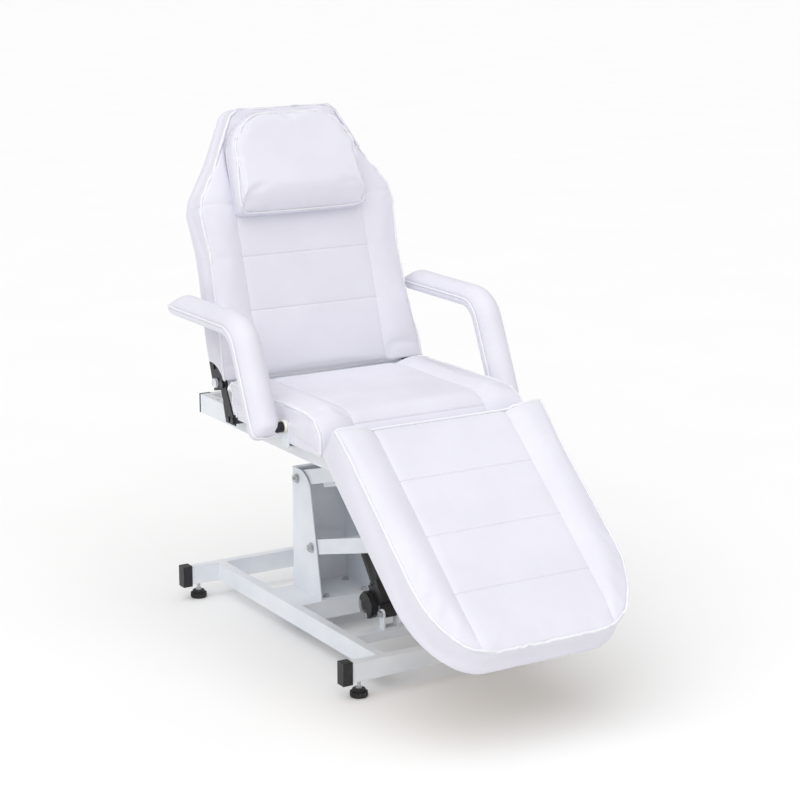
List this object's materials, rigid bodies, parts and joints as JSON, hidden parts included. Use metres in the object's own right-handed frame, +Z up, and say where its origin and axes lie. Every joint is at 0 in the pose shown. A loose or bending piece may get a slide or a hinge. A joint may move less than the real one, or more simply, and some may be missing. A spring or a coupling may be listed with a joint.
{
  "type": "electric facial treatment bed",
  "caption": "White upholstered beauty treatment bed in three hinged sections with fold-back armrests and a head pillow, on a parallelogram lift raised by an electric linear actuator",
  "frame": {"origin": "on the floor under the middle of the bed's whole length and width, as stored", "axes": "+Z up, +Y towards the head end, +X towards the sitter's left; the pictured side is -X"},
  "size_m": [0.794, 1.4213, 1.374],
  "materials": {
    "white_paint": "satin powder coat",
    "vinyl": "soft satin vinyl",
    "black_plastic": "matte",
    "rubber_black": "matte",
    "zinc": "zinc plated",
    "gunmetal": "dark brushed",
    "chrome": "polished",
    "birch": "raw plywood",
    "cream": "gloss",
    "grey_band": "ribbed"
  },
  "bodies": {
    "base": {"base_frame": "white_paint", "base_end_caps": "black_plastic", "foot_nuts": "zinc", "pedestal": "white_paint", "pedestal_bolts": "zinc", "base_pivot_bolts": "zinc", "base_pivot_washers": "zinc", "base_pivot_nuts": "zinc", "actuator_bracket": "white_paint", "actuator_foot_pin": "zinc"},
    "upper_arm": {"upper_arm": "white_paint"},
    "lower_arm": {"lower_arm": "white_paint"},
    "actuator": {"actuator_housing": "black_plastic", "actuator_motor": "black_plastic", "actuator_band": "grey_band"},
    "rod": {"actuator_rod": "chrome", "actuator_head_pin": "zinc"},
    "seat": {"seat_frame": "white_paint", "lift_brackets": "white_paint", "rail_caps": "black_plastic", "frame_pivot_bolts": "zinc", "armrest_brackets": "white_paint", "hinge_straps": "gunmetal", "hinge_spacers": "zinc", "back_hinge_pins": "zinc", "leg_hinge_pins": "zinc", "seat_board": "birch", "seat_cushion": "vinyl", "control_box": "black_plastic", "power_inlet": "black_plastic", "board_screws": "zinc"},
    "back": {"back_board": "birch", "back_cushion": "vinyl", "back_frame": "white_paint", "back_hinge_plates": "gunmetal", "back_tube_plugs": "cream"},
    "pillow": {"pillow": "vinyl"},
    "leg": {"leg_board": "birch", "leg_cushion": "vinyl", "leg_frame": "white_paint"},
    "foot_front_left": {"foot_pad_front_left": "rubber_black", "foot_stud_front_left": "zinc"},
    "foot_front_right": {"foot_pad_front_right": "rubber_black", "foot_stud_front_right": "zinc"},
    "foot_rear_left": {"foot_pad_rear_left": "rubber_black", "foot_stud_rear_left": "zinc"},
    "foot_rear_right": {"foot_pad_rear_right": "rubber_black", "foot_stud_rear_right": "zinc"},
    "armrest_left": {"armrest_pad_left": "vinyl", "armrest_core_left": "gunmetal", "armrest_boss_left": "cream", "armrest_bolt_left": "zinc"},
    "armrest_right": {"armrest_pad_right": "vinyl", "armrest_core_right": "gunmetal", "armrest_boss_right": "cream", "armrest_bolt_right": "zinc"}
  },
  "joints": [
    {"name": "foot_front_left_screw", "type": "slide", "parent": "base", "child": "foot_front_left", "axis": [0, 0, 1], "range_m": [0, 0.01]},
    {"name": "foot_front_right_screw", "type": "slide", "parent": "base", "child": "foot_front_right", "axis": [0, 0, 1], "range_m": [0, 0.01]},
    {"name": "foot_rear_left_screw", "type": "slide", "parent": "base", "child": "foot_rear_left", "axis": [0, 0, 1], "range_m": [0, 0.01]},
    {"name": "foot_rear_right_screw", "type": "slide", "parent": "base", "child": "foot_rear_right", "axis": [0, 0, 1], "range_m": [0, 0.01]},
    {"name": "lift", "type": "hinge", "parent": "base", "child": "upper_arm", "pos_m": [0, 0.367, 0.399], "axis": [-1, 0, 0], "range_deg": [-16, 27]},
    {"name": "lower_arm_turn", "type": "hinge", "parent": "base", "child": "lower_arm", "pos_m": [0, 0.29, 0.226], "axis": [-1, 0, 0], "range_deg": [-16, 27]},
    {"name": "seat_level", "type": "hinge", "parent": "upper_arm", "child": "seat", "pos_m": [0, 0.02095, 0.49823], "axis": [-1, 0, 0], "range_deg": [-27, 16]},
    {"name": "actuator_tilt", "type": "hinge", "parent": "base", "child": "actuator", "pos_m": [-0.036, -0.032, 0.132], "axis": [-1, 0, 0], "range_deg": [-4, 4]},
    {"name": "rod_extend", "type": "slide", "parent": "actuator", "child": "rod", "axis": [0, 0.6047, 0.7964], "range_m": [-0.05, 0.08]},
    {"name": "back_recline", "type": "hinge", "parent": "seat", "child": "back", "pos_m": [0, 0.389, 0.676], "axis": [1, 0, 0], "range_deg": [-72, 0]},
    {"name": "leg_fold", "type": "hinge", "parent": "seat", "child": "leg", "pos_m": [0, -0.16057, 0.60192], "axis": [1, 0, 0], "range_deg": [-40.8, 6]},
    {"name": "armrest_left_fold", "type": "hinge", "parent": "seat", "child": "armrest_left", "pos_m": [-0.355, 0.017, 0.647], "axis": [1, 0, 0], "range_deg": [-90, 0]},
    {"name": "armrest_right_fold", "type": "hinge", "parent": "seat", "child": "armrest_right", "pos_m": [0.355, 0.017, 0.647], "axis": [1, 0, 0], "range_deg": [-90, 0]},
    {"name": "pillow_lift", "type": "slide", "parent": "back", "child": "pillow", "axis": [0, -0.9511, 0.309], "range_m": [0, 0.15]}
  ],
  "couplings": [
    {"joint": "lower_arm_turn", "follows": "lift", "ratio": 1},
    {"joint": "seat_level", "follows": "lift", "ratio": -1},
    {"joint": "actuator_tilt", "follows": "lift", "ratio": -0.12},
    {"joint": "rod_extend", "follows": "lift", "m_per_rad": 0.157}
  ]
}
